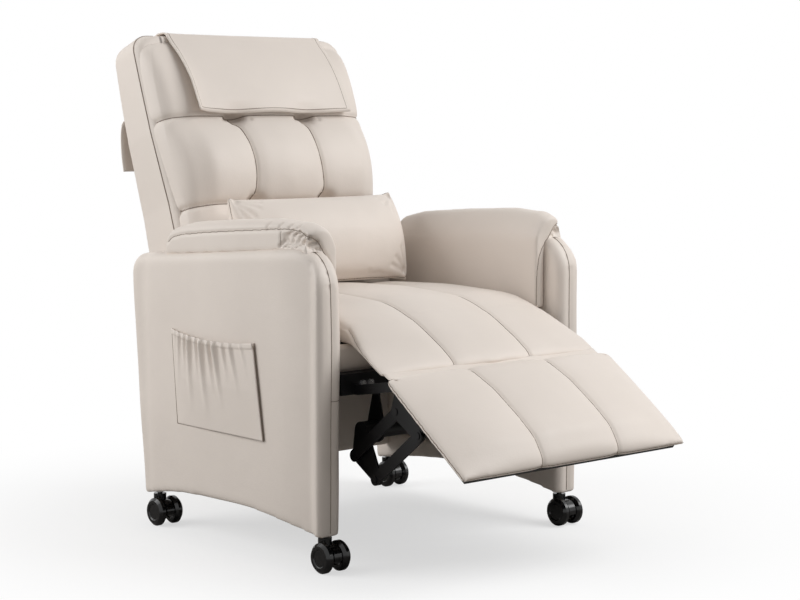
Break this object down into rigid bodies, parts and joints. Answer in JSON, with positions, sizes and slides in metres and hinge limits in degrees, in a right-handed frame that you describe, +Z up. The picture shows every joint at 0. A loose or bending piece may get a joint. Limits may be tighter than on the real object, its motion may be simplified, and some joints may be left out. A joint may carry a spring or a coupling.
{
  "type": "massage recliner",
  "caption": "Armed recliner on casters with a tufted reclining back holding massage motors, a lumbar pillow, a side pocket and a footrest that folds on a parallel linkage.",
  "frame": {"origin": "on the floor midway between the four casters", "axes": "chair faces -Y, +Z up, sitter's left at +X"},
  "size_m": [0.681, 1.0968, 0.9637],
  "materials": {
    "leather": "satin",
    "cloth": "matt",
    "wood": "raw",
    "steel": "satin",
    "pin_steel": "satin",
    "plastic": "matt"
  },
  "bodies": {
    "base": {"arm_dust_cloth_left": "cloth", "arm_dust_cloth_right": "cloth", "arm_frame_left": "wood", "arm_frame_right": "wood", "arm_pad_left": "leather", "arm_pad_right": "leather", "arm_shell_left": "leather", "arm_shell_right": "leather", "caster_sockets": "pin_steel", "control_box": "plastic", "crossbar_bolts": "pin_steel", "front_crossbar": "steel", "rear_crossbar": "steel", "rear_skirt": "leather", "recline_pins": "pin_steel", "recline_plate_left": "steel", "recline_plate_right": "steel", "seat_cushion": "leather", "seat_frame": "wood", "seat_front_panel": "leather", "seat_hinge_plate_left": "steel", "seat_hinge_plate_right": "steel", "seat_straps": "cloth", "side_plate_left": "steel", "side_plate_right": "steel", "side_pocket": "leather", "tube_hanger_left": "steel", "tube_hanger_right": "steel"},
    "back": {"back_frame": "wood", "back_bracket_right": "steel", "back_bracket_left": "steel", "back_cushion": "leather", "back_outside_panel": "leather", "head_cover": "leather", "rear_flap": "leather", "tuft_buttons": "leather", "massage_motors": "plastic", "lumbar_pillow": "leather"},
    "footrest": {"footrest_board": "wood", "footrest_cushion": "leather", "footrest_bracket_right": "steel", "footrest_bracket_left": "steel", "bracket_pins": "pin_steel", "fold_pins": "pin_steel"},
    "front_links": {"front_link_right": "steel", "front_link_left": "steel"},
    "rear_links": {"rear_link_right": "steel", "rear_link_left": "steel"},
    "drive": {"drive_tube": "steel", "crank_right": "steel", "crank_left": "steel", "crank_pins": "pin_steel"},
    "caster_front_right": {"caster_hood_front_right": "plastic"},
    "wheels_front_right": {"caster_wheels_front_right": "plastic"},
    "caster_front_left": {"caster_hood_front_left": "plastic"},
    "wheels_front_left": {"caster_wheels_front_left": "plastic"},
    "caster_rear_right": {"caster_hood_rear_right": "plastic"},
    "wheels_rear_right": {"caster_wheels_rear_right": "plastic"},
    "caster_rear_left": {"caster_hood_rear_left": "plastic"},
    "wheels_rear_left": {"caster_wheels_rear_left": "plastic"}
  },
  "joints": [
    {"name": "back_recline", "type": "hinge", "parent": "base", "child": "back", "pos_m": [0, 0.245, 0.38], "axis": [-1, 0, 0], "range_deg": [0, 32]},
    {"name": "footrest_fold", "type": "hinge", "parent": "base", "child": "footrest", "pos_m": [0, -0.395, 0.34], "axis": [-1, 0, 0], "range_deg": [-54, 20]},
    {"name": "front_link_swing", "type": "hinge", "parent": "footrest", "child": "front_links", "pos_m": [0, -0.44, 0.259], "axis": [-1, 0, 0], "range_deg": [-20, 54]},
    {"name": "rear_link_swing", "type": "hinge", "parent": "footrest", "child": "rear_links", "pos_m": [0, -0.382, 0.294], "axis": [-1, 0, 0], "range_deg": [-20, 54]},
    {"name": "drive_turn", "type": "hinge", "parent": "base", "child": "drive", "pos_m": [0, -0.275, 0.245], "axis": [-1, 0, 0], "range_deg": [-54, 20]},
    {"name": "caster_swivel_front_right", "type": "hinge", "parent": "base", "child": "caster_front_right", "pos_m": [-0.298, -0.261, 0.07], "axis": [0, 0, 1], "continuous": true},
    {"name": "wheel_spin_front_right", "type": "hinge", "parent": "caster_front_right", "child": "wheels_front_right", "pos_m": [-0.298, -0.277, 0.0275], "axis": [1, 0, 0], "continuous": true},
    {"name": "caster_swivel_front_left", "type": "hinge", "parent": "base", "child": "caster_front_left", "pos_m": [0.298, -0.261, 0.07], "axis": [0, 0, 1], "continuous": true},
    {"name": "wheel_spin_front_left", "type": "hinge", "parent": "caster_front_left", "child": "wheels_front_left", "pos_m": [0.298, -0.277, 0.0275], "axis": [1, 0, 0], "continuous": true},
    {"name": "caster_swivel_rear_right", "type": "hinge", "parent": "base", "child": "caster_rear_right", "pos_m": [-0.298, 0.261, 0.07], "axis": [0, 0, 1], "continuous": true},
    {"name": "wheel_spin_rear_right", "type": "hinge", "parent": "caster_rear_right", "child": "wheels_rear_right", "pos_m": [-0.298, 0.245, 0.0275], "axis": [1, 0, 0], "continuous": true},
    {"name": "caster_swivel_rear_left", "type": "hinge", "parent": "base", "child": "caster_rear_left", "pos_m": [0.298, 0.261, 0.07], "axis": [0, 0, 1], "continuous": true},
    {"name": "wheel_spin_rear_left", "type": "hinge", "parent": "caster_rear_left", "child": "wheels_rear_left", "pos_m": [0.298, 0.245, 0.0275], "axis": [1, 0, 0], "continuous": true}
  ],
  "couplings": [
    {"joint": "front_link_swing", "follows": "footrest_fold", "ratio": -1},
    {"joint": "rear_link_swing", "follows": "footrest_fold", "ratio": -1},
    {"joint": "drive_turn", "follows": "footrest_fold", "ratio": 1}
  ]
}
